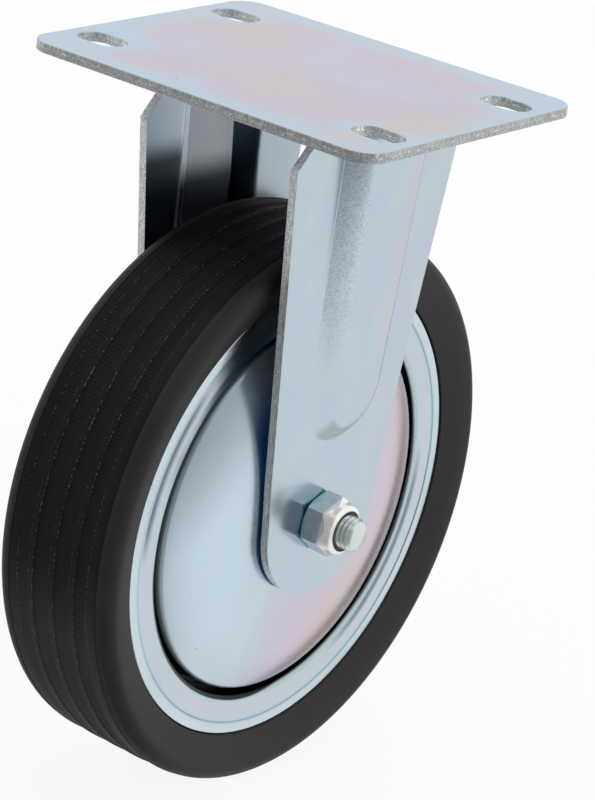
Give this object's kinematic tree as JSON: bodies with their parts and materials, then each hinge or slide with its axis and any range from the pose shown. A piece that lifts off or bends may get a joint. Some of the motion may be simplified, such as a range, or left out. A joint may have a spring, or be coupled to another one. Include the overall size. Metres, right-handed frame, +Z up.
{
  "type": "fixed castor",
  "caption": "Fixed castor: slotted top plate, pressed steel fork with stiffened legs, and a rubber-tyred steel wheel on a roller bearing.",
  "frame": {"origin": "middle of the top plate's upper face, which lies against what the castor is fixed to", "axes": "+Z up out of the top plate's upper face, +X along the axle towards the lock nut, +Y the way that the castor rolls"},
  "size_m": [0.1446, 0.2, 0.251],
  "materials": {
    "zinc_plated_steel": "smooth bluish zinc plating with a faint pink and violet sheen",
    "wheel_zinc": "smooth bluish zinc plating",
    "bright_zinc": "bright zinc plating",
    "bearing_steel": "ground steel",
    "black_nylon": "plain black nylon",
    "black_rubber": "matt black solid rubber with a fine knurled tread"
  },
  "bodies": {
    "bracket": {"top_plate": "zinc_plated_steel", "fork": "zinc_plated_steel", "axle_bolt": "bright_zinc", "lock_nut": "bright_zinc", "nut_insert": "black_nylon", "bearing_sleeve": "bearing_steel", "end_washer_left": "black_nylon", "end_washer_right": "black_nylon"},
    "wheel": {"tyre": "black_rubber", "rim_left": "wheel_zinc", "rim_right": "wheel_zinc", "disc_left": "wheel_zinc", "disc_right": "wheel_zinc", "hub_tube": "bearing_steel"},
    "cage": {"roller_cage": "black_nylon"},
    "roller_a": {"roller_01": "bearing_steel"},
    "roller_b": {"roller_02": "bearing_steel"},
    "roller_c": {"roller_03": "bearing_steel"},
    "roller_d": {"roller_04": "bearing_steel"},
    "roller_e": {"roller_05": "bearing_steel"},
    "roller_f": {"roller_06": "bearing_steel"},
    "roller_g": {"roller_07": "bearing_steel"},
    "roller_h": {"roller_08": "bearing_steel"},
    "roller_i": {"roller_09": "bearing_steel"},
    "roller_j": {"roller_10": "bearing_steel"}
  },
  "joints": [
    {"name": "wheel_spin", "type": "hinge", "parent": "bracket", "child": "wheel", "pos_m": [0, 0, -0.151], "axis": [1, 0, 0], "continuous": true},
    {"name": "cage_spin", "type": "hinge", "parent": "bracket", "child": "cage", "pos_m": [0, 0, -0.151], "axis": [1, 0, 0], "continuous": true},
    {"name": "roller_a_spin", "type": "hinge", "parent": "cage", "child": "roller_a", "pos_m": [0, 0.012, -0.151], "axis": [1, 0, 0], "continuous": true},
    {"name": "roller_b_spin", "type": "hinge", "parent": "cage", "child": "roller_b", "pos_m": [0, 0.00971, -0.14395], "axis": [1, 0, 0], "continuous": true},
    {"name": "roller_c_spin", "type": "hinge", "parent": "cage", "child": "roller_c", "pos_m": [0, 0.00371, -0.13959], "axis": [1, 0, 0], "continuous": true},
    {"name": "roller_d_spin", "type": "hinge", "parent": "cage", "child": "roller_d", "pos_m": [0, -0.00371, -0.13959], "axis": [1, 0, 0], "continuous": true},
    {"name": "roller_e_spin", "type": "hinge", "parent": "cage", "child": "roller_e", "pos_m": [0, -0.00971, -0.14395], "axis": [1, 0, 0], "continuous": true},
    {"name": "roller_f_spin", "type": "hinge", "parent": "cage", "child": "roller_f", "pos_m": [0, -0.012, -0.151], "axis": [1, 0, 0], "continuous": true},
    {"name": "roller_g_spin", "type": "hinge", "parent": "cage", "child": "roller_g", "pos_m": [0, -0.00971, -0.15805], "axis": [1, 0, 0], "continuous": true},
    {"name": "roller_h_spin", "type": "hinge", "parent": "cage", "child": "roller_h", "pos_m": [0, -0.00371, -0.16241], "axis": [1, 0, 0], "continuous": true},
    {"name": "roller_i_spin", "type": "hinge", "parent": "cage", "child": "roller_i", "pos_m": [0, 0.00371, -0.16241], "axis": [1, 0, 0], "continuous": true},
    {"name": "roller_j_spin", "type": "hinge", "parent": "cage", "child": "roller_j", "pos_m": [0, 0.00971, -0.15805], "axis": [1, 0, 0], "continuous": true}
  ],
  "couplings": [
    {"joint": "cage_spin", "follows": "wheel_spin", "ratio": 0.58333},
    {"joint": "roller_a_spin", "follows": "wheel_spin", "ratio": 2.9167},
    {"joint": "roller_b_spin", "follows": "wheel_spin", "ratio": 2.9167},
    {"joint": "roller_c_spin", "follows": "wheel_spin", "ratio": 2.9167},
    {"joint": "roller_d_spin", "follows": "wheel_spin", "ratio": 2.9167},
    {"joint": "roller_e_spin", "follows": "wheel_spin", "ratio": 2.9167},
    {"joint": "roller_f_spin", "follows": "wheel_spin", "ratio": 2.9167},
    {"joint": "roller_g_spin", "follows": "wheel_spin", "ratio": 2.9167},
    {"joint": "roller_h_spin", "follows": "wheel_spin", "ratio": 2.9167},
    {"joint": "roller_i_spin", "follows": "wheel_spin", "ratio": 2.9167},
    {"joint": "roller_j_spin", "follows": "wheel_spin", "ratio": 2.9167}
  ]
}
